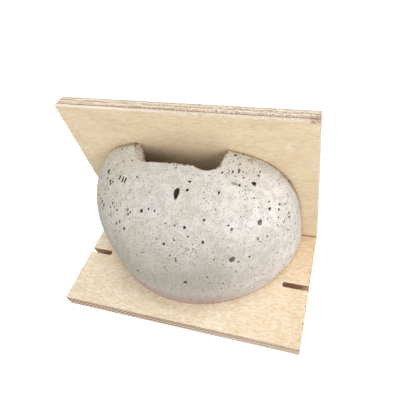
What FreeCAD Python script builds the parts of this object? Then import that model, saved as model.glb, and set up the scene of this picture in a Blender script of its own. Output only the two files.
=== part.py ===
import FreeCAD, Part
import Sketcher
import os
from FreeCAD import Placement, Rotation, Vector

# House martin nest: a cast concrete half cup in the corner of two plywood boards.
# The nest lies on the back of its wall board. +Z points away from the wall, +Y points up to the
# eave in use, and X runs across. The origin is under the middle of the part, on the surface it lies on.

doc = FreeCAD.newDocument("house_martin_nest")

# Sizes in millimetres, angles in degrees
SIZES = {
    "board_width": 210,
    "board_thickness": 12,
    "wall_board_drop": 102,
    "roof_board_reach": 136,
    "board_arris": 0.5,
    "slot_width": 4.5,
    "slot_length": 22,
    "slot_drop": 52,
    "cup_half_width": 92,
    "cup_drop": 84,
    "cup_skirt": 25,
    "cup_crown": 80,
    "cup_power": 2.9,
    "cup_wall": 18,
    "glue_line": 0.8,
    "entrance_left": 43.5,
    "entrance_right": 37.5,
    "entrance_height": 21.5,
    "entrance_slant": 13,
    "entrance_left_corner": 4,
    "entrance_right_corner": 9,
    "entrance_flare": 10,
    "screw_count": 3,
    "screw_inset": 30,
    "screw_length": 35,
    "screw_shank": 4,
    "screw_head": 8,
    "screw_head_angle": 90,
    "screw_point": 4,
    "screw_hole_clearance": 0.4,
    "pilot_spare_depth": 1,
    "drive_width": 4.6,
    "drive_slot": 1,
    "drive_depth": 1.8,
}

MIDDLE = "Sizes.board_width / 2"
JOINT_Y = "(Sizes.wall_board_drop - Sizes.board_thickness) / 2"
FULLNESS = "((8 * 2 ^ (-1 / Sizes.cup_power) - 4) / 3)"
NEAR = 0.01


def make_sheet():
    sheet = doc.addObject("Spreadsheet::Sheet", "Sizes")
    for row, (alias, value) in enumerate(SIZES.items(), 1):
        sheet.set("A%d" % row, alias)
        sheet.set("B%d" % row, str(value))
        sheet.setAlias("B%d" % row, alias)
    doc.recompute()
    return sheet


def bind(item, **expressions):
    for name, expression in expressions.items():
        item.setExpression(name.replace("__", "."), expression)


def number_of(expression):
    return float(sheet.evalExpression(expression.replace("Sizes.", "")))


# Sketch helpers: every corner is held by two named distances from the sketch's origin

def new_sketch(body, name, role, offset=None):
    sketch = body.newObject("Sketcher::SketchObject", name)
    plane = [item for item in body.Origin.OriginFeatures if item.Role == role][0]
    sketch.AttachmentSupport = [(plane, "")]
    sketch.MapMode = "FlatFace"
    if offset is not None:
        sketch.setExpression("AttachmentOffset.Base.z", offset)
    doc.recompute()
    return sketch


def hold(sketch, piece, point, label, across, up):
    for kind, axis, expression in (("DistanceX", -2, across), ("DistanceY", -1, up)):
        if expression is None:
            continue
        if expression == "0":
            sketch.addConstraint(Sketcher.Constraint("PointOnObject", piece, point, axis))
            continue
        value = number_of(expression)
        index = sketch.addConstraint(Sketcher.Constraint(kind, -1, 1, piece, point, value))
        name = "%s_%s" % (label, kind[-1].lower())
        sketch.renameConstraint(index, name)
        sketch.setExpression("Constraints." + name, expression)


def draw_outline(sketch, corners):
    places = [Vector(number_of(x), number_of(y), 0) for x, y in corners]
    lines = []
    for start, end in zip(places, places[1:] + places[:1]):
        lines.append(sketch.addGeometry(Part.LineSegment(start, end), False))
    for first, second in zip(lines, lines[1:] + lines[:1]):
        sketch.addConstraint(Sketcher.Constraint("Coincident", first, 2, second, 1))
    for index, (line, (x, y)) in enumerate(zip(lines, corners)):
        hold(sketch, line, 1, "corner_%d" % index, x, y)
    return lines


def draw_circle(sketch, label, x, y, radius):
    centre = Vector(number_of(x), number_of(y), 0)
    circle = sketch.addGeometry(Part.Circle(centre, Vector(0, 0, 1), number_of(radius)), False)
    hold(sketch, circle, 3, label, x, y)
    index = sketch.addConstraint(Sketcher.Constraint("Radius", circle, number_of(radius)))
    sketch.renameConstraint(index, label + "_radius")
    sketch.setExpression("Constraints.%s_radius" % label, radius)


def new_body(name):
    body = doc.addObject("PartDesign::Body", name)
    body.Label = name
    return body


def pad(body, sketch, thickness, reverse=False):
    feature = body.newObject("PartDesign::Pad", sketch.Name + "_pad")
    feature.Profile = sketch
    feature.Reversed = reverse
    bind(feature, Length=thickness)
    doc.recompute()
    return feature


def pocket(body, sketch, depth, reverse=False):
    before = body.Shape.Volume
    feature = body.newObject("PartDesign::Pocket", sketch.Name + "_pocket")
    feature.Profile = sketch
    feature.Reversed = reverse
    bind(feature, Length=depth)
    doc.recompute()
    if not feature.Shape.Volume < before:
        raise RuntimeError(sketch.Name + " cuts nothing")
    return feature


def break_edges(body, feature, chosen):
    names = ["Edge%d" % index for index, edge in enumerate(feature.Shape.Edges, 1) if chosen(edge)]
    chamfer = body.newObject("PartDesign::Chamfer", body.Name + "_arris")
    chamfer.Base = (feature, names)
    bind(chamfer, Size="Sizes.board_arris")
    doc.recompute()
    return chamfer


def runs_along_x(edge):
    return abs(edge.BoundBox.XLength - sheet.board_width) < NEAR


# Places of the joint screws: the outer two near the board's ends, the rest evenly between them

def screw_places():
    reach = "(Sizes.board_width / 2 - Sizes.screw_inset)"
    gaps = int(sheet.screw_count) - 1
    return ["(%g * %s)" % (2 * index / gaps - 1, reach) for index in range(gaps + 1)]


# Wall board: lies flat, with an open-ended hanging slot in each side and pilot holes in its end

def make_wall_board():
    body = new_body("wall_board")
    outline = new_sketch(body, "wall_board_outline", "XY_Plane")
    draw_outline(outline, [
        ("-" + MIDDLE, "0"),
        ("-" + MIDDLE, "-Sizes.wall_board_drop"),
        (MIDDLE, "-Sizes.wall_board_drop"),
        (MIDDLE, "0"),
    ])
    plate = pad(body, outline, "Sizes.board_thickness")
    break_edges(body, plate, runs_along_x)

    slot = new_sketch(body, "hanging_slot", "XY_Plane")
    half = "Sizes.slot_width / 2"
    top = "-Sizes.slot_drop + " + half
    bottom = "-Sizes.slot_drop - " + half
    inner = "%s - Sizes.slot_length + %s" % (MIDDLE, half)
    outer = MIDDLE + " + Sizes.slot_width"
    corners = [(inner, bottom), (outer, bottom), (outer, top), (inner, top)]
    places = [Vector(number_of(x), number_of(y), 0) for x, y in corners]
    lines = []
    for start, end in zip(places, places[1:]):
        lines.append(slot.addGeometry(Part.LineSegment(start, end), False))
    middle = (places[0] + places[3]) / 2
    leftmost = middle - Vector(number_of(half), 0, 0)
    end_arc = slot.addGeometry(Part.Arc(places[3], leftmost, places[0]), False)
    slot.addConstraint(Sketcher.Constraint("Coincident", lines[0], 2, lines[1], 1))
    slot.addConstraint(Sketcher.Constraint("Coincident", lines[1], 2, lines[2], 1))
    slot.addConstraint(Sketcher.Constraint("Coincident", lines[2], 2, end_arc, 1))
    slot.addConstraint(Sketcher.Constraint("Coincident", end_arc, 2, lines[0], 1))
    for index, line in enumerate(lines):
        hold(slot, line, 1, "slot_%d" % index, *corners[index])
    hold(slot, lines[2], 2, "slot_3", *corners[3])
    hold(slot, end_arc, 3, "slot_end", inner, None)
    right_slot = pocket(body, slot, "Sizes.board_thickness", True)

    left_slot = body.newObject("PartDesign::Mirrored", "left_slot")
    left_slot.Originals = [right_slot]
    left_slot.MirrorPlane = ([item for item in body.Origin.OriginFeatures if item.Role == "YZ_Plane"][0], [""])
    body.Tip = left_slot
    doc.recompute()

    pilots = new_sketch(body, "pilot_holes", "XZ_Plane")
    for index, place in enumerate(screw_places()):
        draw_circle(pilots, "pilot_%d" % index, place, "Sizes.board_thickness / 2", "Sizes.screw_shank / 2")
    depth = "Sizes.screw_length - Sizes.board_thickness + Sizes.pilot_spare_depth"
    body.Tip = pocket(body, pilots, depth, True)
    bind(body, Placement__Base__y=JOINT_Y)
    return body


# Roof board: stands on edge over the wall board's end, with countersunk screw holes

def make_roof_board():
    body = new_body("roof_board")
    outline = new_sketch(body, "roof_board_outline", "XZ_Plane")
    height = "Sizes.board_thickness + Sizes.roof_board_reach"
    draw_outline(outline, [("-" + MIDDLE, "0"), (MIDDLE, "0"), (MIDDLE, height), ("-" + MIDDLE, height)])
    plate = pad(body, outline, "Sizes.board_thickness", True)
    top = number_of(height)
    break_edges(body, plate, lambda edge: runs_along_x(edge) and edge.CenterOfMass.z > top - NEAR)

    centres = new_sketch(body, "screw_holes", "XZ_Plane", "-Sizes.board_thickness")
    for index, place in enumerate(screw_places()):
        draw_circle(centres, "hole_%d" % index, place, "Sizes.board_thickness / 2", "Sizes.screw_shank / 2")
    doc.recompute()
    before = body.Shape.Volume
    hole = body.newObject("PartDesign::Hole", "countersunk_holes")
    hole.Profile = centres
    hole.ThreadType = "None"
    hole.DepthType = "ThroughAll"
    hole.HoleCutType = "Countersink"
    hole.HoleCutCustomValues = True
    hole.Reversed = True
    bind(
        hole,
        Diameter="Sizes.screw_shank + Sizes.screw_hole_clearance",
        HoleCutDiameter="Sizes.screw_head",
        HoleCutCountersinkAngle="Sizes.screw_head_angle",
    )
    doc.recompute()
    if not hole.Shape.Volume < before:
        raise RuntimeError("the screw holes cut nothing")
    body.Tip = hole
    bind(body, Placement__Base__y=JOINT_Y)
    return body


# Joint screws: countersunk wood screws through the roof board into the wall board's end

def make_joint_screw(number, place):
    body = new_body("joint_screw_%d" % number)
    profile = new_sketch(body, "screw_profile_%d" % number, "XZ_Plane")
    head = "Sizes.screw_head / 2"
    shank = "Sizes.screw_shank / 2"
    draw_outline(profile, [
        ("0", "0"),
        ("0", "-Sizes.screw_length"),
        (shank, "-Sizes.screw_length + Sizes.screw_point"),
        (shank, "-(%s - %s) / tan(Sizes.screw_head_angle / 2)" % (head, shank)),
        (head, "0"),
    ])
    turned = body.newObject("PartDesign::Revolution", "screw_blank_%d" % number)
    turned.Profile = profile
    turned.ReferenceAxis = (profile, ["V_Axis"])
    turned.Angle = 360
    doc.recompute()
    drive = new_sketch(body, "drive_%d" % number, "XY_Plane")
    wide = "Sizes.drive_width / 2"
    thin = "Sizes.drive_slot / 2"
    quarter = [(wide, "-" + thin), (wide, thin), (thin, thin)]
    corners = []
    for turn in range(4):
        for x, y in quarter:
            for _ in range(turn):
                x, y = negative(y), x
            corners.append((x, y))
    draw_outline(drive, corners)
    body.Tip = pocket(body, drive, "Sizes.drive_depth")
    body.Placement = Placement(Vector(), Rotation(Vector(1, 0, 0), -90))
    bind(
        body,
        Placement__Base__x=place,
        Placement__Base__y=JOINT_Y + " + Sizes.board_thickness",
        Placement__Base__z="Sizes.board_thickness / 2",
    )
    return body


def negative(expression):
    return expression[1:] if expression.startswith("-") else "-" + expression


# Half dome: a superellipse profile turned half a circle, then widened across

def make_half_dome(name, half_width, drop, crown):
    profile = doc.addObject("Sketcher::SketchObject", name + "_profile")
    profile.Placement = Placement(Vector(), Rotation(Vector(1, 0, 0), 90))
    skirt = "Sizes.cup_skirt"
    top = "%s + %s" % (skirt, crown)
    poles = [
        (drop, skirt),
        (drop, "%s + %s * (%s)" % (skirt, FULLNESS, crown)),
        ("%s * (%s)" % (FULLNESS, drop), top),
        ("0", top),
    ]
    curve = Part.BSplineCurve()
    places = [Vector(number_of(x), number_of(y), 0) for x, y in poles]
    curve.buildFromPolesMultsKnots(places, [4, 4], [0, 1], False, 3)
    arch = profile.addGeometry(curve, False)
    profile.exposeInternalGeometry(arch)
    corner = Vector(number_of(drop), 0, 0)
    foot = profile.addGeometry(Part.LineSegment(Vector(), corner), False)
    side = profile.addGeometry(Part.LineSegment(corner, places[0]), False)
    axis = profile.addGeometry(Part.LineSegment(places[3], Vector()), False)
    for first, second in ((foot, side), (side, arch), (arch, axis), (axis, foot)):
        profile.addConstraint(Sketcher.Constraint("Coincident", first, 2, second, 1))
    hold(profile, foot, 1, "foot", "0", "0")
    hold(profile, foot, 2, "rim", drop, "0")
    hold(profile, side, 2, "spring", *poles[0])
    hold(profile, axis, 1, "top", *poles[3])
    hold(profile, arch + 2, 3, "shoulder", *poles[1])
    hold(profile, arch + 3, 3, "brow", *poles[2])
    doc.recompute()
    dome = doc.addObject("Part::Revolution", name + "_turned")
    dome.Source = profile
    dome.Axis = Vector(0, 0, -1)
    dome.Angle = 180
    dome.Solid = True
    widened = doc.addObject("Part::Scale", name)
    widened.Base = dome
    widened.Uniform = False
    bind(widened, XScale="(%s) / (%s)" % (half_width, drop))
    doc.recompute()
    return widened


# Entrance: a notch in the cup's rim beside the roof board, narrower on the inside

def make_entrance():
    outline = doc.addObject("Sketcher::SketchObject", "entrance_outline")
    left = "-Sizes.entrance_left"
    right = "Sizes.entrance_right"
    left_corner = (left + " + Sizes.entrance_slant", "-Sizes.entrance_height")
    right_corner = (right, "-Sizes.entrance_height")
    draw_outline(outline, [
        (left, "Sizes.cup_wall"),
        (left, "0"),
        left_corner,
        right_corner,
        (right, "Sizes.cup_wall"),
    ])
    doc.recompute()
    bind(outline, Placement__Base__z="Sizes.cup_skirt + Sizes.cup_crown")
    cutter = doc.addObject("Part::Extrusion", "entrance_block")
    cutter.Base = outline
    cutter.DirMode = "Custom"
    cutter.Dir = Vector(0, 0, -1)
    cutter.Solid = True
    bind(cutter, LengthFwd="2 * Sizes.cup_wall", TaperAngle="-Sizes.entrance_flare")
    doc.recompute()
    rounded = doc.addObject("Part::Fillet", "entrance")
    rounded.Base = cutter
    left_edge = edge_below(cutter.Shape, left_corner)
    right_edge = edge_below(cutter.Shape, right_corner)
    rounded.Edges = [
        (left_edge, sheet.entrance_left_corner, sheet.entrance_left_corner),
        (right_edge, sheet.entrance_right_corner, sheet.entrance_right_corner),
    ]
    doc.recompute()
    return rounded


def edge_below(shape, corner):
    x, y = [number_of(expression) for expression in corner]
    for index, edge in enumerate(shape.Edges, 1):
        upper = max(edge.Vertexes, key=lambda vertex: vertex.Z).Point
        if edge.BoundBox.ZLength > NEAR and abs(upper.x - x) < NEAR and abs(upper.y - y) < NEAR:
            return index
    raise RuntimeError("the entrance has no edge below its corner")


def make_nest_cup():
    outer = make_half_dome("cup_outside", "Sizes.cup_half_width", "Sizes.cup_drop", "Sizes.cup_crown")
    inner = make_half_dome(
        "cup_inside",
        "Sizes.cup_half_width - Sizes.cup_wall",
        "Sizes.cup_drop - Sizes.cup_wall",
        "Sizes.cup_crown - Sizes.cup_wall",
    )
    shell = doc.addObject("Part::Cut", "cup_shell")
    shell.Base = outer
    shell.Tool = inner
    cup = doc.addObject("Part::Cut", "nest_cup")
    cup.Base = shell
    cup.Tool = make_entrance()
    bind(
        cup,
        Placement__Base__y=JOINT_Y + " - Sizes.glue_line",
        Placement__Base__z="Sizes.board_thickness + Sizes.glue_line",
    )
    doc.recompute()
    return cup


# Adhesive: the cup's flat rim faces carried on to the board behind them

def make_adhesive(name, cup, towards):
    glue = number_of("Sizes.glue_line")
    faces = [face for face in cup.Shape.Faces if looks_towards(face, towards)]
    bead = doc.addObject("Part::Feature", name)
    bead.Shape = Part.makeCompound([face.extrude(towards * glue) for face in faces])
    return bead


def looks_towards(face, towards):
    first, last, low, high = face.ParameterRange
    normal = face.normalAt((first + last) / 2, (low + high) / 2)
    box = face.BoundBox
    thickness = abs(towards.x * box.XLength + towards.y * box.YLength + towards.z * box.ZLength)
    return thickness < NEAR and normal.dot(towards) > 1 - NEAR


sheet = make_sheet()
wall_board = make_wall_board()
roof_board = make_roof_board()
screws = [make_joint_screw(number, place) for number, place in enumerate(screw_places(), 1)]
nest_cup = make_nest_cup()
wall_adhesive = make_adhesive("wall_adhesive", nest_cup, Vector(0, 0, -1))
roof_adhesive = make_adhesive("roof_adhesive", nest_cup, Vector(0, 1, 0))
doc.recompute()

nodes = [nest_cup, wall_board, roof_board, wall_adhesive, roof_adhesive] + screws

for item in doc.Objects:
    if "Invalid" in item.State or "Error" in item.State:
        raise RuntimeError("%s is %s" % (item.Name, item.State))
for node in nodes:
    if node.Shape.isNull() or not node.Shape.isValid() or not node.Shape.Solids:
        raise RuntimeError(node.Label + " has no valid solid")

os.makedirs("parts", exist_ok=True)
for node in nodes:
    node.Shape.exportStep("parts/%s.step" % node.Label)
    box = node.Shape.BoundBox
    print("%-16s %d solids %9.1f mm3  x %.2f..%.2f  y %.2f..%.2f  z %.2f..%.2f" % (
        node.Label, len(node.Shape.Solids), node.Shape.Volume,
        box.XMin, box.XMax, box.YMin, box.YMax, box.ZMin, box.ZMax))
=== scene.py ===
import math
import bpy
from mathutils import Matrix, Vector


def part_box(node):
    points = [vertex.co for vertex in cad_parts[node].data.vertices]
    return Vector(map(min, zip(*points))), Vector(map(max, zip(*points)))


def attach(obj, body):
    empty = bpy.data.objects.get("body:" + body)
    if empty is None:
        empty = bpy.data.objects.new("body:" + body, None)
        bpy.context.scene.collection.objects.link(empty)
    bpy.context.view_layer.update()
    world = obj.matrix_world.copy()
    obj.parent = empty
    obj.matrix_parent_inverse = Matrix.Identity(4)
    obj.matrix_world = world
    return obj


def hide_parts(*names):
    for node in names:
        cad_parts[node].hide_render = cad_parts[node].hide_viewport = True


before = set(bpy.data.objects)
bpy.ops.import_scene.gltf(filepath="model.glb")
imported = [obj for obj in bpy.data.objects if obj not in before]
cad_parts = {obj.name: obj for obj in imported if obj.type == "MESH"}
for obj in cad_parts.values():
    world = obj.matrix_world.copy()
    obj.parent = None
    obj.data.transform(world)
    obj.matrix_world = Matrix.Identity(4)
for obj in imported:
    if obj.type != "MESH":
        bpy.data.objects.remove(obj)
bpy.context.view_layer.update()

from types import SimpleNamespace

import bmesh
import bpy
import numpy as np
from mathutils import Vector, noise

# House martin nest cup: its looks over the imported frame. Lengths are in metres and angles in degrees.
# The cup has its own coordinates: across, down from the roof board, and out from the wall board.

MM = 0.001

wall_low, wall_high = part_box("wall_board")
roof_low, roof_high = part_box("roof_board")
cup_low, cup_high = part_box("nest_cup")

# The boards: their plies, the middle and width of the hanging slots, and the saw's marks on the front edge
BOARD_THICKNESS = wall_high.z - wall_low.z
PLIES = 7
SLOT_DROP = 52 * MM
SLOT_Y = roof_low.y - SLOT_DROP
SLOT_WIDTH = 4.5 * MM
SAW_PITCH = 4.0 * MM
SAW_SLANT = 0.95

# Round marks on the roof board: middle across and out from the wall, outer reach and fully coloured reach
# Painted shade on the roof board's inner face behind the entrance
NOTCH_SHADE = ((5 * MM, 92 * MM), 46 * MM, 28 * MM)
# Painted light in the middle of the roof board, lightening the cup's shadow there
MIDDLE_PAINTED_LIGHT = ((0, 118 * MM), 70 * MM, 15 * MM)
RUBBED_PATCH = ((88 * MM, 121 * MM), 10 * MM, 2 * MM)

# Depths in the roof board, from its inner face: where its pale first ply fades out, and a brown line behind
FIRST_PLY = (1.6 * MM, 2.1 * MM)
BROWN_LINE = 2.9 * MM

# The cast shell: a straight skirt, then a dome whose meridian is one cubic curve
HALF_WIDTH = cup_high.x
DROP = cup_high.y - cup_low.y
SKIRT = 25 * MM
CROWN = 80 * MM
SHELL = 18 * MM
DOME_POWER = 2.9
FULLNESS = (8 * 2 ** (-1 / DOME_POWER) - 4) / 3

# The entrance's edge on the outer face, in millimetres across and down, from its right end to its left
ENTRANCE_EDGE = [
    (36.8, 0.0),
    (36.2, 3.0),
    (36.0, 7.0),
    (35.2, 11.5),
    (34.8, 16.0),
    (33.0, 19.4),
    (29.6, 21.6),
    (23.4, 22.5),
    (18.3, 21.2),
    (14.9, 20.4),
    (-0.4, 20.2),
    (-25.4, 20.6),
    (-30.7, 18.6),
    (-34.6, 15.0),
    (-41.0, 6.4),
    (-45.4, 0.0),
]
ENTRANCE_INSET = 1.6 * MM
ENTRANCE_LIP = 1.0 * MM

# How far the entrance's edge is rounded, least and most, at the outer face and at the inner one
OUTER_ROUND = (0.8 * MM, 2.2 * MM)
INNER_ROUND = (0.8 * MM, 1.6 * MM)

# The entrance's left wall is broken: a rough ledge juts in, wider toward the roof board
LEDGE_STARTS = 0.80 * math.pi
LEDGE_FULL = 0.84 * math.pi
LEDGE_LOW = 2.4 * MM
LEDGE_AT_ROOF = 6.0 * MM

# How finely the shell is drawn and meshed
SKIRT_POINTS = 60
DOME_POINTS = 600
EDGE_POINTS = 500
EDGE_SOFTNESS = 13
AZIMUTHS = 300
OUTER_ROWS = 170
WALL_ROWS = 22
INNER_ROWS = 28
RIM_ROWS = 6
CORNER_ROWS = 4
PORE_CUTS = 3

# The roughness of the casting: waves per metre, and heights in millimetres
WAVES = 38
WAVE_HEIGHT = 0.28
GRIT = 330
GRIT_HEIGHT = 0.03
CUT_GRIT_HEIGHT = 0.65

# This near to the roof board and to the wall board, points are moved less and less toward the board
CALM_AT_ROOF = 1.5 * MM
CALM_AT_WALL = 1.0 * MM

# Air holes left by the casting: millimetres across and down, then width, length and depth, turn in degrees
AIR_HOLES = [
    (10.0, 44.7, 3.9, 8.4, 3.4, 10),
    (-14.0, 59.1, 2.1, 2.9, 1.8, 0),
    (61.4, 22.2, 3.4, 3.4, 2.4, 0),
    (48.7, 27.8, 5.0, 2.3, 0.7, 4),
    (52.2, 27.6, 1.6, 2.0, 1.6, 0),
    (68.8, 42.7, 4.2, 3.9, 1.8, 20),
    (51.4, 66.6, 5.0, 4.4, 1.9, 30),
    (55.2, 65.0, 1.6, 2.0, 1.2, 0),
    (73.9, 31.6, 2.2, 2.8, 2.0, 0),
    (20.3, 64.3, 1.9, 2.4, 2.0, 0),
    (33.2, 68.0, 1.9, 2.4, 2.0, 0),
    (62.3, 59.4, 1.8, 2.2, 1.6, 20),
    (51.5, 55.6, 1.8, 2.2, 1.6, 0),
    (15.2, 82.5, 2.6, 3.6, 2.0, 0),
    (17.2, 41.0, 1.9, 2.4, 1.6, 0),
    (17.4, 34.3, 1.6, 2.0, 1.4, 0),
    (-29.1, 68.2, 1.9, 2.9, 1.8, -30),
    (-28.2, 79.7, 1.8, 3.4, 1.4, -40),
    (-38.7, 36.6, 1.7, 4.6, 1.8, 4),
    (-36.0, 37.3, 1.7, 4.8, 1.8, 2),
    (-42.6, 34.6, 1.5, 4.6, 1.4, -10),
    (-58.4, 26.4, 2.5, 4.2, 1.6, 6),
    (-43.2, 53.0, 1.6, 2.7, 1.4, 0),
    (-45.8, 54.8, 1.4, 2.0, 1.2, 0),
    (-44.6, 59.4, 1.6, 2.0, 1.2, 0),
    (-26.4, 58.5, 1.4, 2.2, 1.4, 0),
    (-25.5, 61.0, 1.4, 1.8, 1.2, 0),
    (-23.6, 60.0, 1.3, 1.6, 1.2, 0),
    (-8.4, 57.6, 1.4, 1.8, 1.4, 0),
    (-3.4, 58.4, 1.4, 1.8, 1.2, 0),
    (5.5, 74.2, 1.8, 2.2, 1.4, 0),
    (13.0, 78.9, 1.4, 2.0, 1.4, 0),
    (79.6, 23.4, 1.8, 2.2, 1.6, 0),
    (79.5, 26.6, 1.8, 2.2, 1.6, 0),
    (85.6, 20.4, 1.8, 2.6, 1.4, 0),
    (89.5, 16.9, 1.9, 2.8, 1.2, 0),
    (45.3, 18.6, 1.3, 2.4, 1.6, 0),
    (49.4, 17.5, 1.2, 1.9, 1.4, 0),
    (43.4, 3.4, 1.8, 2.2, 1.4, 0),
    (48.6, 10.4, 1.3, 1.6, 1.4, 0),
    (63.4, 10.9, 1.4, 1.8, 1.4, 0),
    (63.2, 14.4, 1.4, 1.8, 1.4, 0),
    (67.9, 50.3, 1.6, 2.2, 1.4, 0),
    (39.7, 37.6, 1.6, 2.0, 1.4, 0),
    (33.0, 57.2, 1.4, 1.8, 1.2, 0),
    (38.1, 21.6, 1.6, 2.2, 0.7, 0),
    (-45.7, 19.7, 1.4, 1.8, 1.4, 0),
    (-37.4, 19.7, 1.3, 1.8, 1.2, 0),
    (-52.3, 36.0, 2.0, 2.5, 1.4, 20),
    (-48.6, 37.4, 1.7, 1.9, 1.2, 0),
    (-26.1, 34.7, 1.4, 1.8, 1.2, 0),
]

# The mesh is finer as far as this round an air hole, in millimetres
HOLE_MARGIN = 0.8

# A hole's dark mark, which is painted shade, ends at this share of the hole's own size, and fades over this
# share before it
MARK_ENDS = 1.14
MARK_BLUR = 0.16

# An air hole is let only into points this near to the outer face, and not into the face behind it
HOLE_REACH = 6 * MM

# Where small air holes crowd together: the middle across and down, and how far they reach, in millimetres
AIR_HOLE_CROWDS = [
    ((-50, 32), 22),
    ((-56, 48), 16),
    ((48, 13), 22),
    ((86, 20), 16),
]

# Of the small air holes there is at most one to a cell: how many cells there are in a metre
DOT_CELLS = 300
SPECK_CELLS = 800

# A brown chip in the rim beside the roof board, millimetres across and down
RIM_CHIP = (55, 2.8)

# The photograph's camera
CAMERA_PLACE = (0.1235, -0.1502, 0.3141)
CAMERA_TURN = (41.83, 7.95, 15.10)
CAMERA_LENS = 34.24
CAMERA_SHIFT = (-0.0876, -0.0517)

# The studio's soft lamps: name, place, side length and power in watts
LAMPS = [
    ("key_lamp", (0.95, -0.95, 0.48), 0.7, 9.3),
    ("fill_lamp", (-1.0, -0.5, 0.45), 0.9, 4.6),
    ("top_lamp", (0.2, 0.12, 1.3), 0.6, 8.8),
    ("side_lamp", (1.25, 0.42, 0.2), 0.6, 6.0),
]
LAMP_AIM = Vector((0, 0, 0.06))
SKY_STRENGTH = 0.24
FLOOR_GLOW = 0.6
FLOOR_REACH = 4.0
FLOOR_CELLS = 8


def linear(*levels):
    """A colour written as 0 to 255 levels, as the shader's linear colour"""
    shares = [level / 255 for level in levels]
    return tuple(s / 12.92 if s <= 0.04045 else ((s + 0.055) / 1.055) ** 2.4 for s in shares) + (1.0,)


def tones(**levels):
    """Named colours, each written as 0 to 255 levels"""
    return SimpleNamespace(**{name: linear(*level) for name, level in levels.items()})


CONCRETE = tones(
    plain=(218, 213, 203),
    rosy=(226, 219, 219),
    # The left tone is painted shade, the right tones and the far right one are painted light, and the lower
    # tone is painted shade low down
    left=(208, 203, 187),
    right=(232, 227, 222),
    right_rosy=(236, 230, 229),
    far_right=(253, 247, 245),
    lower=(151, 147, 133),
    upper=(184, 178, 163),
    cloud=(180, 173, 156),
    light_grain=(244, 240, 230),
    dark_grain=(128, 120, 106),
    rim_band=(182, 164, 157),
    chipped=(150, 130, 100),
    grit=(158, 142, 124),
    sand=(214, 206, 192),
    smear=(128, 98, 72),
    # The hole tone is painted shade inside the air holes
    hole=(34, 26, 21),
)

EDGE = tones(
    long_dark=(214, 188, 160),
    long_pale=(252, 244, 230),
    fleck_dark=(144, 106, 72),
    fleck_pale=(252, 243, 224),
    end_dark=(122, 84, 56),
    end_pale=(240, 218, 184),
    streak_dark=(182, 146, 110),
    streak_pale=(240, 224, 196),
    glue=(148, 110, 74),
)

ROOF_WOOD = tones(
    broad_dark=(230, 207, 173),
    broad_pale=(240, 220, 187),
    # The notch tone is painted shade behind the entrance
    notch=(230, 192, 162),
    # The middle tone is painted light
    middle=(252, 232, 196),
    streak_dark=(210, 174, 130),
    streak_pale=(253, 240, 214),
    rubbed=(253, 245, 228),
    first_ply=(251, 243, 230),
    brown_line=(156, 102, 66),
    edge_spot=(138, 88, 56),
    face_spot=(150, 88, 54),
)

WALL_WOOD = tones(
    patch_dark=(234, 212, 180),
    patch_pale=(244, 231, 209),
    tan=(226, 196, 154),
    streak_dark=(212, 178, 134),
    streak_pale=(255, 247, 232),
    sawn_dark=(132, 100, 76),
    sawn_pale=(228, 205, 178),
    sawn_right=(236, 218, 196),
    sawn_top=(140, 104, 80),
    slot_dark=(184, 146, 116),
    slot_pale=(228, 194, 164),
    slot_burnt=(122, 82, 58),
    joint_edge=(134, 84, 52),
    joint_face=(150, 98, 62),
    scorched=(104, 62, 44),
)

ADHESIVE = tones(dark=(134, 104, 76), pale=(200, 168, 130))
STEEL = tones(dull=(176, 178, 180), bright=(214, 214, 212))
FLOOR = tones(dark=(228, 228, 227), pale=(232, 232, 231))
WHITE = linear(255, 255, 255)


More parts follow.
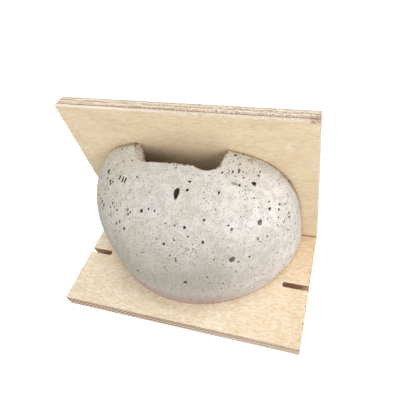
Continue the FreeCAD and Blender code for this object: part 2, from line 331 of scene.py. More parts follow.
class Paint:
    """A procedural material: each method adds a node and returns its output"""

    def __init__(self, name):
        self.material = bpy.data.materials.new(name)
        self.material.use_nodes = True
        self.nodes = self.material.node_tree.nodes
        self.links = self.material.node_tree.links
        self.shader = self.nodes["Principled BSDF"]
        self.end = self.nodes["Material Output"]
        coordinates = self.add("ShaderNodeTexCoord")
        self.place = coordinates.outputs["Object"]
        self.facing = coordinates.outputs["Normal"]

    def add(self, kind, inputs=None, **settings):
        node = self.nodes.new(kind)
        for name, value in settings.items():
            setattr(node, name, value)
        for name, value in (inputs or {}).items():
            self.feed(node.inputs[name], value)
        return node

    def feed(self, socket, value):
        if isinstance(value, bpy.types.NodeSocket):
            self.links.new(value, socket)
        else:
            socket.default_value = value

    def finish(self, **inputs):
        for name, value in inputs.items():
            self.feed(self.shader.inputs[name.replace("_", " ")], value)
        return self.material

    def stretched(self, size, turn=(0, 0, 0)):
        """Coordinates in which a pattern's grain has this size in millimetres, turned by these angles"""
        inputs = {
            "Vector": self.place,
            "Scale": [length * MM for length in size],
            "Rotation": [math.radians(angle) for angle in turn],
        }
        return self.add("ShaderNodeMapping", inputs, vector_type="TEXTURE").outputs["Vector"]

    def noise(self, scale, detail=3.0, rough=0.5, place=None, bend=0.0):
        inputs = {
            "Vector": place or self.place,
            "Scale": scale,
            "Detail": detail,
            "Roughness": rough,
            "Distortion": bend,
        }
        return self.add("ShaderNodeTexNoise", inputs).outputs["Fac"]

    def grain(self, size, detail, rough, turn=(0, 0, 0), bend=0.0):
        """Noise whose grain has this size in millimetres"""
        return self.noise(1, detail, rough, self.stretched(size, turn), bend)

    def cells(self, scale):
        node = self.add("ShaderNodeTexVoronoi", {"Vector": self.place, "Scale": scale})
        return node.outputs["Distance"], node.outputs["Color"]

    def distance(self, place):
        node = self.add("ShaderNodeVectorMath", {0: self.place, 1: place}, operation="DISTANCE")
        return node.outputs["Value"]

    def part(self, vector, axis):
        return self.add("ShaderNodeSeparateXYZ", {"Vector": vector}).outputs[axis]

    def calc(self, operation, first, second=0.0):
        return self.add("ShaderNodeMath", {0: first, 1: second}, operation=operation).outputs[0]

    def plus(self, first, second):
        return self.calc("ADD", first, second)

    def minus(self, first, second):
        return self.calc("SUBTRACT", first, second)

    def times(self, first, second):
        return self.calc("MULTIPLY", first, second)

    def most(self, first, second):
        return self.calc("MAXIMUM", first, second)

    def apart(self, first, second):
        """How far two numbers are apart"""
        return self.calc("ABSOLUTE", self.minus(first, second))

    def fade(self, value, start, end, low=0.0, high=1.0):
        """Goes smoothly from low to high as the value goes from start to end"""
        inputs = {"Value": value, "From Min": start, "From Max": end, "To Min": low, "To Max": high}
        return self.add("ShaderNodeMapRange", inputs, interpolation_type="SMOOTHSTEP").outputs["Result"]

    def mix(self, share, first, second):
        return self.add("ShaderNodeMix", {0: share, 6: first, 7: second}, data_type="RGBA").outputs[2]

    def attribute(self, name):
        return self.add("ShaderNodeAttribute", attribute_name=name).outputs["Fac"]

    def bump(self, height, distance, under=None):
        inputs = {"Height": height, "Distance": distance}
        if under:
            inputs["Normal"] = under
        return self.add("ShaderNodeBump", inputs).outputs["Normal"]


# Materials

def small_air_holes(paint, across):
    """Air holes too small to be let in, painted dark as painted shade: how much of a dot there is, and how
    much of a dot or a finer speck
    """
    spread = paint.calc("ABSOLUTE", paint.calc("DIVIDE", across, HALF_WIDTH))
    crowd = paint.plus(paint.noise(40, 2, 0.5), paint.times(spread, 0.15))
    for across_down, size in AIR_HOLE_CROWDS:
        away = paint.distance(dome_point(*across_down)[0])
        crowd = paint.plus(crowd, paint.fade(away, size * MM, 0, 0, 0.5))

    far, tone = paint.cells(DOT_CELLS)
    chance = paint.plus(paint.part(tone, "X"), paint.times(crowd, 0.6))
    reach = paint.fade(paint.part(tone, "Y"), 0.4, 1.0, 0.12, 0.21)
    reach = paint.times(reach, paint.fade(crowd, 0.6, 0.95, 1.0, 1.7))
    dot = paint.fade(paint.minus(far, reach), 0.05, -0.02)
    dot = paint.times(dot, paint.fade(chance, 1.07, 1.11))

    near, tone = paint.cells(SPECK_CELLS)
    speck = paint.fade(near, 0.42, 0.26)
    speck = paint.times(speck, paint.fade(paint.part(tone, "Y"), 0.74, 0.8))
    speck = paint.times(speck, paint.fade(crowd, 0.4, 0.75, 0.42, 0.9))
    return dot, paint.most(dot, speck)


def concrete_paint():
    """Cast concrete: clouded greys, painted shade to the left and low down, painted light to the right,
    darker toward the roof board, a browner band at the wall, a sandy broken edge, grit, and air holes
    darkened with painted shade
    """
    paint = Paint("cast_concrete")
    patch = paint.fade(paint.noise(42, 4, 0.6), 0.4, 0.62)
    cloud = paint.noise(150, 5, 0.65)
    grain = paint.noise(1250, 5, 0.85)
    drift = paint.times(paint.minus(paint.noise(30, 3, 0.6), 0.5), 60 * MM)
    across = paint.part(paint.place, "X")
    height = paint.minus(paint.part(paint.place, "Z"), cup_low.z)
    to_roof = paint.minus(cup_high.y, paint.part(paint.place, "Y"))

    # Painted shade on the left side, and painted light on the right side, strongest at the far right
    left = paint.fade(paint.plus(across, drift), 5 * MM, -50 * MM, 0.0, 0.75)
    right = paint.fade(paint.plus(across, drift), 5 * MM, 80 * MM)
    # Painted shade low down on the cup, kept lighter at the very bottom and on the right
    lower = paint.fade(paint.plus(height, drift), 98 * MM, 34 * MM)
    lower = paint.times(lower, paint.fade(height, 4 * MM, 34 * MM, 0.4, 0.72))
    lower = paint.times(lower, paint.fade(right, 0.1, 0.9, 1.0, 0.45))
    upper = paint.fade(to_roof, 36 * MM, 5 * MM, 0.0, 0.5)
    body = paint.mix(patch, CONCRETE.plain, CONCRETE.rosy)
    body = paint.mix(left, body, CONCRETE.left)
    body = paint.mix(right, body, paint.mix(patch, CONCRETE.right, CONCRETE.right_rosy))
    body = paint.mix(paint.fade(across, 70 * MM, 90 * MM), body, CONCRETE.far_right)
    body = paint.mix(lower, body, CONCRETE.lower)
    body = paint.mix(upper, body, CONCRETE.upper)
    body = paint.mix(paint.fade(cloud, 0.64, 0.36, 0.0, 0.5), body, CONCRETE.cloud)

    grained = paint.fade(right, 0.0, 1.0, 0.58, 0.24)
    light = paint.times(paint.fade(grain, 0.48, 0.64), grained)
    dark = paint.times(paint.fade(grain, 0.5, 0.36), grained)
    body = paint.mix(light, body, CONCRETE.light_grain)
    body = paint.mix(dark, body, CONCRETE.dark_grain)

    runs = paint.grain((1.6, 1.6, 12), 3, 0.6)
    band = paint.fade(paint.plus(height, paint.times(runs, 8 * MM)), 24 * MM, 10 * MM)
    band = paint.times(band, paint.fade(across, 20 * MM, 75 * MM, 1.0, 0.25))
    body = paint.mix(paint.times(band, 0.85), body, CONCRETE.rim_band)

    ragged_rim = paint.minus(to_roof, paint.times(patch, 2.6 * MM))
    chip = paint.fade(paint.distance(dome_point(*RIM_CHIP)[0]), 5 * MM, 2.5 * MM)
    chip = paint.times(chip, paint.fade(paint.noise(420, 3, 0.7), 0.44, 0.56))
    chipped = paint.most(paint.fade(ragged_rim, 0.8 * MM, 0), chip)
    body = paint.mix(paint.times(chipped, 0.7), body, CONCRETE.chipped)

    cut = paint.attribute("cut")
    grit = paint.noise(620, 4, 0.7)
    sand = paint.mix(paint.fade(grit, 0.35, 0.65), CONCRETE.grit, CONCRETE.sand)
    smeared = paint.times(paint.fade(to_roof, 9 * MM, 1 * MM), paint.fade(grit, 0.56, 0.46))
    sand = paint.mix(paint.times(smeared, 0.75), sand, CONCRETE.smear)
    body = paint.mix(cut, body, sand)

    # Dots, specks and the let-in air holes are darkened with painted shade
    dot, hole = small_air_holes(paint, across)
    hole = paint.most(hole, paint.attribute("hole_shade"))
    body = paint.mix(paint.times(hole, 0.96), body, CONCRETE.hole)

    normal = paint.bump(paint.minus(paint.times(cloud, 0.35), dot), 0.5 * MM)
    normal = paint.bump(paint.plus(grain, paint.times(cut, grain)), 0.3 * MM, normal)
    rough = paint.fade(cloud, 0.3, 0.7, 0.82, 0.96)
    return paint.finish(Base_Color=body, Roughness=rough, Specular_IOR_Level=0.2, Normal=normal)


class Plywood:
    """Plywood: its faces show grain along X, and its edges show the plies by their place in the thickness"""

    def __init__(self, name, thickness_axis, start):
        self.paint = Paint(name)
        paint = self.paint
        self.x = paint.part(paint.place, "X")
        self.depth = paint.minus(paint.part(paint.place, thickness_axis), start)
        across = paint.calc("ABSOLUTE", paint.part(paint.facing, thickness_axis))
        self.face = paint.fade(across, 0.75, 0.9)
        self.end_grain = paint.grain((1.3, 0.75, 0.75), 3, 0.8)

    def edge(self):
        """Pale plies and brown ones by turns, flecked to the right, with patchy glue lines between them"""
        paint = self.paint
        wobble = paint.times(paint.grain((22, 22, 22), 2, 0.5), 0.6)
        level = paint.plus(paint.times(self.depth, PLIES / BOARD_THICKNESS), wobble)
        level = paint.minus(level, 0.3)
        second = paint.fade(paint.calc("PINGPONG", paint.plus(level, 0.5), 1.0), 0.38, 0.62)
        fibre = paint.grain((12, 0.7, 0.7), 4, 0.6)
        pale = paint.mix(paint.fade(fibre, 0.38, 0.6), EDGE.long_dark, EDGE.long_pale)
        flecked = paint.mix(paint.fade(self.end_grain, 0.4, 0.5), EDGE.fleck_dark, EDGE.fleck_pale)
        pale = paint.mix(paint.fade(self.x, -60 * MM, 40 * MM, 0.0, 0.75), pale, flecked)
        brown = paint.mix(paint.fade(self.end_grain, 0.44, 0.56), EDGE.end_dark, EDGE.end_pale)
        streaked = paint.mix(paint.fade(fibre, 0.42, 0.58), EDGE.streak_dark, EDGE.streak_pale)
        brown = paint.mix(paint.fade(self.x, -60 * MM, 20 * MM), streaked, brown)
        second = paint.times(second, paint.fade(self.x, -60 * MM, 60 * MM, 1.0, 0.6))
        body = paint.mix(second, pale, brown)
        inside = paint.apart(paint.calc("FRACT", level), 0.5)
        patchy = paint.fade(paint.grain((10, 3, 3), 3, 0.6), 0.45, 0.6, 0.1, 0.8)
        glue = paint.times(paint.fade(inside, 0.38, 0.46), patchy)
        return paint.mix(glue, body, EDGE.glue)

    def finish(self, edge, wood, streak):
        paint = self.paint
        height = paint.mix(self.face, self.end_grain, paint.times(streak, 0.3))
        normal = paint.bump(height, 0.2 * MM)
        rough = paint.fade(streak, 0.3, 0.7, 0.55, 0.7)
        return paint.finish(Base_Color=paint.mix(self.face, edge, wood), Roughness=rough, Normal=normal)


def round_mark(paint, mark, strength):
    """How strongly a round mark shows on the roof board's inner face"""
    (across, out), fades_out, full = mark
    away = paint.distance(Vector((across, roof_low.y, out)))
    return paint.fade(away, fades_out, full, 0.0, strength)


def roof_board_paint():
    """Even pale wood with fine streaks, a rubbed patch, painted shade behind the entrance and painted light
    in its middle, and a brown spot at its upper right corner
    """
    board = Plywood("roof_plywood", "Y", roof_low.y)
    paint = board.paint
    broad = paint.grain((34, 11, 11), 3, 0.55, bend=0.4)
    streak = paint.grain((5.5, 0.7, 0.7), 5, 0.7)
    inner_face = paint.fade(board.depth, 3 * MM, MM)
    # Painted shade on the inner face behind the entrance
    notch = paint.times(round_mark(paint, NOTCH_SHADE, 0.6), inner_face)
    rubbed = paint.times(round_mark(paint, RUBBED_PATCH, 0.7), paint.fade(broad, 0.45, 0.55))
    wood = paint.mix(paint.fade(broad, 0.35, 0.65), ROOF_WOOD.broad_dark, ROOF_WOOD.broad_pale)
    wood = paint.mix(notch, wood, ROOF_WOOD.notch)
    # Painted light in the middle of the board
    wood = paint.mix(round_mark(paint, MIDDLE_PAINTED_LIGHT, 0.55), wood, ROOF_WOOD.middle)
    wood = paint.mix(paint.fade(streak, 0.5, 0.62, 0.0, 0.46), wood, ROOF_WOOD.streak_dark)
    wood = paint.mix(paint.fade(streak, 0.48, 0.36, 0.0, 0.48), wood, ROOF_WOOD.streak_pale)
    wood = paint.mix(rubbed, wood, ROOF_WOOD.rubbed)

    first_ply = paint.times(
        paint.fade(board.depth, FIRST_PLY[1], FIRST_PLY[0]),
        paint.fade(board.x, -70 * MM, 20 * MM, 0.8, 0.4),
    )
    specks = paint.grain((2.2, 0.8, 0.8), 3, 0.7)
    off_line = paint.apart(board.depth, BROWN_LINE)
    line = paint.times(paint.fade(off_line, 0.9 * MM, 0.4 * MM), paint.fade(specks, 0.35, 0.6, 0.3, 0.95))
    corner = Vector((roof_high.x - MM, roof_low.y + 1.5 * MM, roof_high.z))
    spot = paint.fade(paint.distance(corner), 8 * MM, 3 * MM)
    spot = paint.times(spot, paint.fade(specks, 0.42, 0.55))
    edge = paint.mix(first_ply, board.edge(), ROOF_WOOD.first_ply)
    edge = paint.mix(line, edge, ROOF_WOOD.brown_line)
    edge = paint.mix(paint.times(spot, 0.75), edge, ROOF_WOOD.edge_spot)

    near_edge = paint.fade(paint.part(paint.place, "Z"), roof_high.z - 3 * MM, roof_high.z - MM, 0.0, 0.8)
    wood = paint.mix(paint.times(spot, near_edge), wood, ROOF_WOOD.face_spot)
    return board.finish(edge, wood, streak)


def sawn_front(board):
    """The front edge as the saw left it: slanting brown bands, browner toward the face with the cup"""
    paint = board.paint
    slant = paint.plus(board.x, paint.times(board.depth, -SAW_SLANT))
    slant = paint.plus(slant, paint.times(paint.noise(90, 3, 0.6), 2.4 * MM))
    hatch = paint.calc("SINE", paint.times(slant, 2 * math.pi / SAW_PITCH))
    hatch = paint.times(hatch, paint.fade(paint.noise(60, 2, 0.5), 0.35, 0.6, 0.4, 1.0))
    sawn = paint.mix(paint.fade(hatch, -0.7, 0.7), WALL_WOOD.sawn_dark, WALL_WOOD.sawn_pale)
    sawn = paint.mix(paint.fade(board.x, -20 * MM, 70 * MM, 0.0, 0.4), sawn, WALL_WOOD.sawn_right)
    top = paint.times(paint.fade(board.depth, 5 * MM, 9.5 * MM), 0.5)
    return paint.mix(top, sawn, WALL_WOOD.sawn_top)


def wall_board_paint():
    """Wood with short flecks turned a little from the edge, tanned to the right, with scorched slots"""
    board = Plywood("wall_plywood", "Z", wall_low.z)
    paint = board.paint
    turn = (0, 0, 2)
    y = paint.part(paint.place, "Y")
    from_joint = paint.minus(roof_low.y, y)
    from_side = paint.minus(wall_high.x, paint.calc("ABSOLUTE", board.x))
    patch = paint.grain((11, 4.5, 4.5), 4, 0.6, turn, 0.5)
    streak = paint.grain((4.2, 0.8, 0.8), 5, 0.7, turn, 0.6)
    tan = paint.fade(board.x, 30 * MM, 105 * MM)
    tan = paint.times(tan, paint.fade(from_joint, 20 * MM, 60 * MM, 0.9, 0.4))
    wood = paint.mix(paint.fade(patch, 0.36, 0.64), WALL_WOOD.patch_dark, WALL_WOOD.patch_pale)
    wood = paint.mix(tan, wood, WALL_WOOD.tan)
    wood = paint.mix(paint.fade(streak, 0.5, 0.62, 0.0, 0.62), wood, WALL_WOOD.streak_dark)
    wood = paint.mix(paint.fade(streak, 0.48, 0.38, 0.0, 0.58), wood, WALL_WOOD.streak_pale)

    front = paint.fade(paint.part(paint.facing, "Y"), -0.6, -0.8)
    edge = paint.mix(paint.times(front, 0.9), board.edge(), sawn_front(board))
    in_slot = paint.fade(paint.apart(y, SLOT_Y), SLOT_WIDTH * 0.62, SLOT_WIDTH * 0.52)
    slot = paint.mix(paint.fade(board.end_grain, 0.3, 0.7), WALL_WOOD.slot_dark, WALL_WOOD.slot_pale)
    slot = paint.mix(paint.fade(board.depth, 8.5 * MM, 11.5 * MM, 0.0, 0.85), slot, WALL_WOOD.slot_burnt)
    edge = paint.mix(in_slot, edge, slot)

    joint = paint.times(paint.fade(from_joint, 1.7 * MM, 0.6 * MM), 0.9)
    edge = paint.mix(joint, edge, WALL_WOOD.joint_edge)
    wood = paint.mix(joint, wood, WALL_WOOD.joint_face)

    scorched = paint.fade(paint.grain((60, 2.6, 60), 1, 0.5), 0.58, 0.64)
    scorched = paint.times(scorched, paint.fade(from_side, 0.9 * MM, 0.4 * MM, 0.0, 0.85))
    near_face = paint.fade(board.depth, 9.5 * MM, 11 * MM)
    edge = paint.mix(paint.times(scorched, near_face), edge, WALL_WOOD.scorched)
    return board.finish(edge, paint.mix(scorched, wood, WALL_WOOD.scorched), streak)


def adhesive_paint():
    paint = Paint("brown_adhesive")
    lumps = paint.noise(420, 3, 0.6)
    tone = paint.mix(paint.fade(lumps, 0.3, 0.7), ADHESIVE.dark, ADHESIVE.pale)
    return paint.finish(Base_Color=tone, Roughness=0.6, Normal=paint.bump(lumps, 0.3 * MM))


def steel_paint():
    paint = Paint("zinc_steel")
    stain = paint.noise(600, 3, 0.6)
    tone = paint.mix(stain, STEEL.dull, STEEL.bright)
    shine = paint.fade(stain, 0.3, 0.7, 0.28, 0.42)
    return paint.finish(Base_Color=tone, Metallic=1.0, Roughness=shine, Normal=paint.bump(stain, 0.02 * MM))


def floor_paint():
    """Pale and matt, shown to the camera a little brighter so that it meets the white behind"""
    paint = Paint("pale_floor")
    tone = paint.mix(paint.noise(6, 2, 0.5), FLOOR.dark, FLOOR.pale)
    paint.finish(Base_Color=tone, Roughness=0.9)
    rays = paint.add("ShaderNodeLightPath")
    glow = paint.add("ShaderNodeEmission", {"Strength": FLOOR_GLOW})
    paint.links.new(rays.outputs["Is Camera Ray"], glow.inputs["Color"])
    both = paint.add("ShaderNodeAddShader", {0: paint.shader.outputs[0], 1: glow.outputs[0]})
    paint.links.new(both.outputs[0], paint.end.inputs["Surface"])
    return paint.material


# The cast shell

def meridian(shrink):
    """The dome's profile from its rim up: shares of the reach, and heights"""
    skirt = np.linspace(0, 1, SKIRT_POINTS, endpoint=False)
    t = np.linspace(0, 1, DOME_POINTS)
    out = (1 - t) ** 3 + 3 * t * (1 - t) ** 2 + 3 * FULLNESS * t ** 2 * (1 - t)
    rise = 3 * FULLNESS * t * (1 - t) ** 2 + 3 * t ** 2 * (1 - t) + t ** 3
    shares = np.concatenate([np.ones_like(skirt), out])
    heights = np.concatenate([skirt * SKIRT, SKIRT + rise * (CROWN - shrink)])
    return shares, heights


def dome_point(across, down):
    """The place on the outer face at so many millimetres across and down, and the outward direction there"""
    share = math.hypot(across * MM / HALF_WIDTH, down * MM / DROP)
    shares, heights = meridian(0)
    out = float(np.interp(-share, -shares, heights))
    place = Vector((across * MM, cup_high.y - down * MM, cup_low.z + out))
    slope = DOME_POWER - 1
    lift = max(out - SKIRT, 0) / CROWN
    normal = Vector((
        share ** (slope - 1) * across * MM / HALF_WIDTH ** 2,
        -(share ** (slope - 1)) * down * MM / DROP ** 2,
        lift ** slope / CROWN,
    ))
    return place, normal.normalized()


def surface_rows(azimuths, shrink, end_shares, count, end_gap):
    """Evenly spaced points up the outer or inner face at each azimuth, from the rim to near the entrance"""
    shares, heights = meridian(shrink)
    rows = np.empty((len(azimuths), count, 3))
    for index, (azimuth, end_share) in enumerate(zip(azimuths, end_shares)):
        direction = np.array([(HALF_WIDTH - shrink) * math.cos(azimuth), (DROP - shrink) * math.sin(azimuth)])
        reach = np.hypot(*direction)
        lengths = np.concatenate([[0], np.cumsum(np.hypot(np.diff(shares * reach), np.diff(heights)))])
        end = np.interp(-end_share, -shares, lengths) - end_gap[index]
        stations = np.linspace(0, end, count)
        share = np.interp(stations, lengths, shares)
        rows[index, :, :2] = share[:, None] * direction
        rows[index, :, 2] = np.interp(stations, lengths, heights)
    return rows


def entrance_shares(azimuths, shrink, inset):
    """How far out, as a share of the reach, the entrance's edge lies at each azimuth"""
    corners = np.array(ENTRANCE_EDGE) * MM
    middle = np.array([corners[:, 0].mean(), 0])
    steps = np.concatenate([[0], np.cumsum(np.hypot(*np.diff(corners, axis=0).T))])
    stations = np.linspace(0, steps[-1], EDGE_POINTS)
    edge = np.stack([np.interp(stations, steps, corners[:, axis]) for axis in (0, 1)], axis=1)
    kernel = np.hanning(EDGE_SOFTNESS) / np.hanning(EDGE_SOFTNESS).sum()
    side = EDGE_SOFTNESS // 2
    for axis in (0, 1):
        edge[side:-side, axis] = np.convolve(edge[:, axis], kernel, "valid")
    inward = middle - edge
    edge = edge + inward / np.linalg.norm(inward, axis=1)[:, None] * inset
    edge[[0, -1], 1] = 0
    across = edge[:, 0] / (HALF_WIDTH - shrink)
    down = edge[:, 1] / (DROP - shrink)
    angles = np.arctan2(down, across)
    order = np.argsort(angles)
    return np.interp(azimuths, angles[order], np.hypot(across, down)[order])


def round_corner(before, tip, after):
    """A row of points that turns from before to after round the tip"""
    t = np.linspace(0, 1, CORNER_ROWS + 2)[1:-1][None, :, None]
    return (1 - t) ** 2 * before[:, None] + 2 * t * (1 - t) * tip[:, None] + t ** 2 * after[:, None]


def waver(azimuths, seed, pitch, low, high):
    """A smooth uneven length for each azimuth"""
    values = [noise.noise(Vector((azimuth * pitch, seed, 0.5))) for azimuth in azimuths]
    return low + (high - low) * np.clip(np.array(values) + 0.5, 0, 1)


def shell_loops():
    """Closed cross-sections of the shell, one at each azimuth"""
    azimuths = np.linspace(0, math.pi, AZIMUTHS)
    none = np.zeros(AZIMUTHS)
    outer_share = entrance_shares(azimuths, 0, 0)
    inner_share = entrance_shares(azimuths, SHELL, ENTRANCE_INSET)
    begun = np.clip((azimuths - LEDGE_STARTS) / (LEDGE_FULL - LEDGE_STARTS), 0, 1)
    to_roof = np.clip((azimuths - LEDGE_FULL) / (math.pi - LEDGE_FULL), 0, 1)
    ledge = begun * (LEDGE_LOW + to_roof * (LEDGE_AT_ROOF - LEDGE_LOW))
    outer_gap = waver(azimuths, 1.7, 9, *OUTER_ROUND) * (1 - 0.4 * begun)
    inner_gap = waver(azimuths, 5.2, 7, *INNER_ROUND)
    outer = surface_rows(azimuths, 0, outer_share, OUTER_ROWS, outer_gap)
    outer_tip = surface_rows(azimuths, 0, outer_share, 2, none)[:, 1]
    inner = surface_rows(azimuths, SHELL, inner_share, INNER_ROWS, inner_gap)
    inner_tip = surface_rows(azimuths, SHELL, inner_share, 2, none)[:, 1]

    thickness = np.linalg.norm(inner_tip - outer_tip, axis=1)
    shares = np.linspace(outer_gap / thickness, 1 - inner_gap / thickness, WALL_ROWS, axis=1)[:, :, None]
    cut = outer_tip[:, None] * (1 - shares) + inner_tip[:, None] * shares
    inward = -outer_tip / np.linalg.norm(outer_tip[:, :2], axis=1)[:, None]
    inward[:, 2] = 0
    swell = ENTRANCE_LIP * np.sin(math.pi * shares ** 0.45) + ledge[:, None, None] * (1 - shares ** 3)
    cut = cut + inward[:, None] * swell
    shares = np.linspace(0, 1, RIM_ROWS + 2)[1:-1][None, :, None]
    rim = inner[:, :1] * (1 - shares) + outer[:, :1] * shares
    parts = [
        outer,
        round_corner(outer[:, -1], outer_tip, cut[:, 0]),
        cut,
        round_corner(cut[:, -1], inner_tip, inner[:, -1]),
        inner[:, ::-1],
        rim,
    ]
    return np.concatenate(parts, axis=1)


def shell_mesh():
    """The smooth shell, with finer faces where air holes are let in"""
    loops = shell_loops()
    count = loops.shape[1]
    cut_start = OUTER_ROWS
    cut_end = OUTER_ROWS + 2 * CORNER_ROWS + WALL_ROWS
    mesh = bmesh.new()
    cut = mesh.verts.layers.float.new("cut")
    outside = mesh.verts.layers.float.new("outside")
    grid = []
    for loop in loops:
        row = []
        for index, (across, down, out) in enumerate(loop):
            vert = mesh.verts.new((across, cup_high.y - down, cup_low.z + out))
            vert[cut] = 1.0 if cut_start <= index < cut_end else 0.0
            vert[outside] = 1.0 if index < cut_start else 0.0
            row.append(vert)
        grid.append(row)
    for first, second in zip(grid, grid[1:]):
        for index in range(count):
            after = (index + 1) % count
            mesh.faces.new((first[index], first[after], second[after], second[index]))
    ends = [mesh.faces.new(grid[0]), mesh.faces.new(reversed(grid[-1]))]
    bmesh.ops.triangulate(mesh, faces=ends)
    bmesh.ops.recalc_face_normals(mesh, faces=mesh.faces)
    refine_round_holes(mesh, outside)
    return mesh


def refine_round_holes(mesh, outside):
    """Divides the outer faces that are near an air hole"""
    mesh.faces.ensure_lookup_table()
    centres = np.array([face.calc_center_median() for face in mesh.faces])
    chosen = set()
    for across, down, width, length, _, _ in AIR_HOLES:
        place, _ = dome_point(across, down)
        reach = (max(width, length) / 2 + HOLE_MARGIN) * MM
        near = np.linalg.norm(centres - np.array(place), axis=1) < reach
        for index in np.nonzero(near)[0]:
            face = mesh.faces[int(index)]
            if all(vert[outside] > 0.5 for vert in face.verts):
                chosen.update(face.edges)
    bmesh.ops.subdivide_edges(mesh, edges=list(chosen), cuts=PORE_CUTS, use_grid_fill=True)


def let_in_holes(points, outside):
    """How far each point sinks into an air hole, and how dark the hole's mark of painted shade is there, a
    little lighter on one side as painted light
    """
    sink = np.zeros(len(points))
    mark = np.zeros(len(points))
    for number, (across, down, width, length, depth, turn) in enumerate(AIR_HOLES):
        place, normal = dome_point(across, down)
        side = Vector((1, 0, 0)) - normal * normal.x
        side.normalize()
        up = normal.cross(side)
        angle = math.radians(turn)
        wide = side * math.cos(angle) + up * math.sin(angle)
        tall = up * math.cos(angle) - side * math.sin(angle)
        away = points - np.array(place)
        u = away @ np.array(wide) / (width / 2 * MM)
        v = away @ np.array(tall) / (length / 2 * MM)
        around = np.arctan2(v, u)
        ragged = 1 + 0.10 * np.sin(2 * around + number) + 0.07 * np.sin(3 * around + 2.3 * number)
        e = np.hypot(u, v) / ragged
        inside = (e < 1) & (np.abs(away @ np.array(normal)) < HOLE_REACH) & outside
        sink[inside] = np.maximum(sink[inside], depth * MM * np.sqrt(1 - e[inside] ** 2))
        # The mark is painted shade, darker for deeper holes, with painted light making one side of it lighter
        shade = np.clip(2 * depth / width, 0.5, 0.97) * np.clip((MARK_ENDS - e) / MARK_BLUR, 0, 1)
        shade = shade * (1 - 0.4 * np.clip(u - v - 0.2, 0, 1))
        mark = np.where(outside, np.maximum(mark, shade), mark)
    return sink, mark


def read_points(collection, name, width=1):
    """One value or one row of values for each point of a mesh"""
    values = np.empty(len(collection) * width)
    collection.foreach_get(name, values)
    return values.reshape(-1, width) if width > 1 else values


def roughen(mesh):
    """Moves the cast faces' points: slow waves outside, broken grit on the cut edge, and the air holes"""
    points = read_points(mesh.vertices, "co", 3)
    normals = read_points(mesh.vertices, "normal", 3)
    cut = read_points(mesh.attributes["cut"].data, "value")
    outside = read_points(mesh.attributes["outside"].data, "value")
    sink, mark = let_in_holes(points, outside > 0.5)
    move = np.zeros(len(points))
    for index in np.nonzero((outside > 0.01) | (cut > 0.01))[0]:
        place = Vector(points[index])
        slow = noise.fractal(place * WAVES, 1.0, 2.0, 3)
        grit = noise.fractal(place * GRIT, 0.8, 2.0, 4)
        cast = outside[index] * (slow * WAVE_HEIGHT + grit * GRIT_HEIGHT) * MM
        move[index] = cast + cut[index] * grit * CUT_GRIT_HEIGHT * MM
    off_roof = np.clip((cup_high.y - points[:, 1]) / CALM_AT_ROOF, 0, 1)
    off_wall = np.clip((points[:, 2] - cup_low.z) / CALM_AT_WALL, 0, 1)
    shift = normals * (move - sink)[:, None]
    shift[:, 1] *= off_roof * off_wall
    shift[:, 2] *= off_wall
    points += shift
    mesh.vertices.foreach_set("co", points.ravel())
    # The holes' dark marks are kept as painted shade for the concrete
    mesh.attributes.new("hole_shade", "FLOAT", "POINT").data.foreach_set("value", mark)
    mesh.update()


def make_nest_cup():
    built = shell_mesh()
    mesh = bpy.data.meshes.new("cast_cup")
    built.to_mesh(mesh)
    built.free()
    mesh.polygons.foreach_set("use_smooth", [True] * len(mesh.polygons))
    roughen(mesh)
    cup = bpy.data.objects.new("cast_cup", mesh)
    bpy.context.scene.collection.objects.link(cup)
    cup.data.materials.append(concrete_paint())
    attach(cup, "root")
    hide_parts("nest_cup")


# Boards, adhesive and screws keep their CAD solids and take their finish here

def dress(name, material):
    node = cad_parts[name]
    for slot in node.material_slots:
        slot.material = material
    if not node.material_slots:
        node.data.materials.append(material)


# The studio

def make_lamp(name, place, size, power):
    lamp = bpy.data.lights.new(name, "AREA")
    lamp.size = size
    lamp.energy = power
    holder = bpy.data.objects.new(name, lamp)
    holder.location = place
    aim = LAMP_AIM - Vector(place)
    holder.rotation_euler = aim.to_track_quat("-Z", "Y").to_euler()
    bpy.context.scene.collection.objects.link(holder)


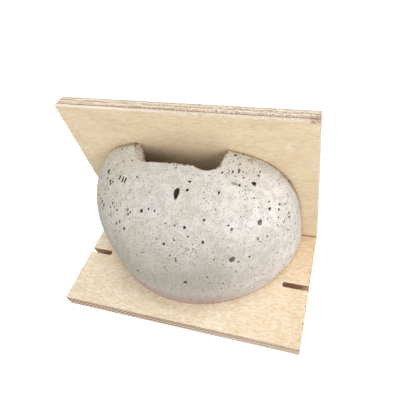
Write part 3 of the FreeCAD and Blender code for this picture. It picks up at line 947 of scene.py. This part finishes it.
def make_floor():
    mesh = bmesh.new()
    bmesh.ops.create_grid(mesh, x_segments=FLOOR_CELLS, y_segments=FLOOR_CELLS, size=FLOOR_REACH)
    data = bpy.data.meshes.new("floor")
    mesh.to_mesh(data)
    mesh.free()
    floor = bpy.data.objects.new("floor", data)
    bpy.context.scene.collection.objects.link(floor)
    data.materials.append(floor_paint())


def make_sky():
    """Weak even light on the object, and white where the camera, gloss or glass looks past it"""
    world = bpy.data.worlds.new("studio")
    world.use_nodes = True
    nodes = world.node_tree.nodes
    links = world.node_tree.links
    lit = nodes["Background"]
    lit.inputs["Strength"].default_value = SKY_STRENGTH
    seen = nodes.new("ShaderNodeBackground")
    for background in (lit, seen):
        background.inputs["Color"].default_value = WHITE
    rays = nodes.new("ShaderNodeLightPath")
    looking = rays.outputs["Is Camera Ray"]
    for kind in ("Is Glossy Ray", "Is Transmission Ray"):
        either = nodes.new("ShaderNodeMath")
        either.operation = "MAXIMUM"
        links.new(looking, either.inputs[0])
        links.new(rays.outputs[kind], either.inputs[1])
        looking = either.outputs[0]
    mixed = nodes.new("ShaderNodeMixShader")
    links.new(looking, mixed.inputs[0])
    links.new(lit.outputs[0], mixed.inputs[1])
    links.new(seen.outputs[0], mixed.inputs[2])
    links.new(mixed.outputs[0], nodes["World Output"].inputs["Surface"])
    bpy.context.scene.world = world


def make_camera():
    camera = bpy.data.cameras.new("camera")
    camera.lens = CAMERA_LENS
    camera.shift_x, camera.shift_y = CAMERA_SHIFT
    holder = bpy.data.objects.new("camera", camera)
    holder.location = CAMERA_PLACE
    holder.rotation_euler = [math.radians(angle) for angle in CAMERA_TURN]
    bpy.context.scene.collection.objects.link(holder)
    bpy.context.scene.camera = holder


make_nest_cup()
dress("roof_board", roof_board_paint())
dress("wall_board", wall_board_paint())
adhesive = adhesive_paint()
dress("wall_adhesive", adhesive)
dress("roof_adhesive", adhesive)
steel = steel_paint()
for node_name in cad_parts:
    if node_name.startswith("joint_screw"):
        dress(node_name, steel)
make_floor()
make_sky()
for lamp_settings in LAMPS:
    make_lamp(*lamp_settings)
make_camera()
bpy.context.scene.view_settings.view_transform = "Standard"
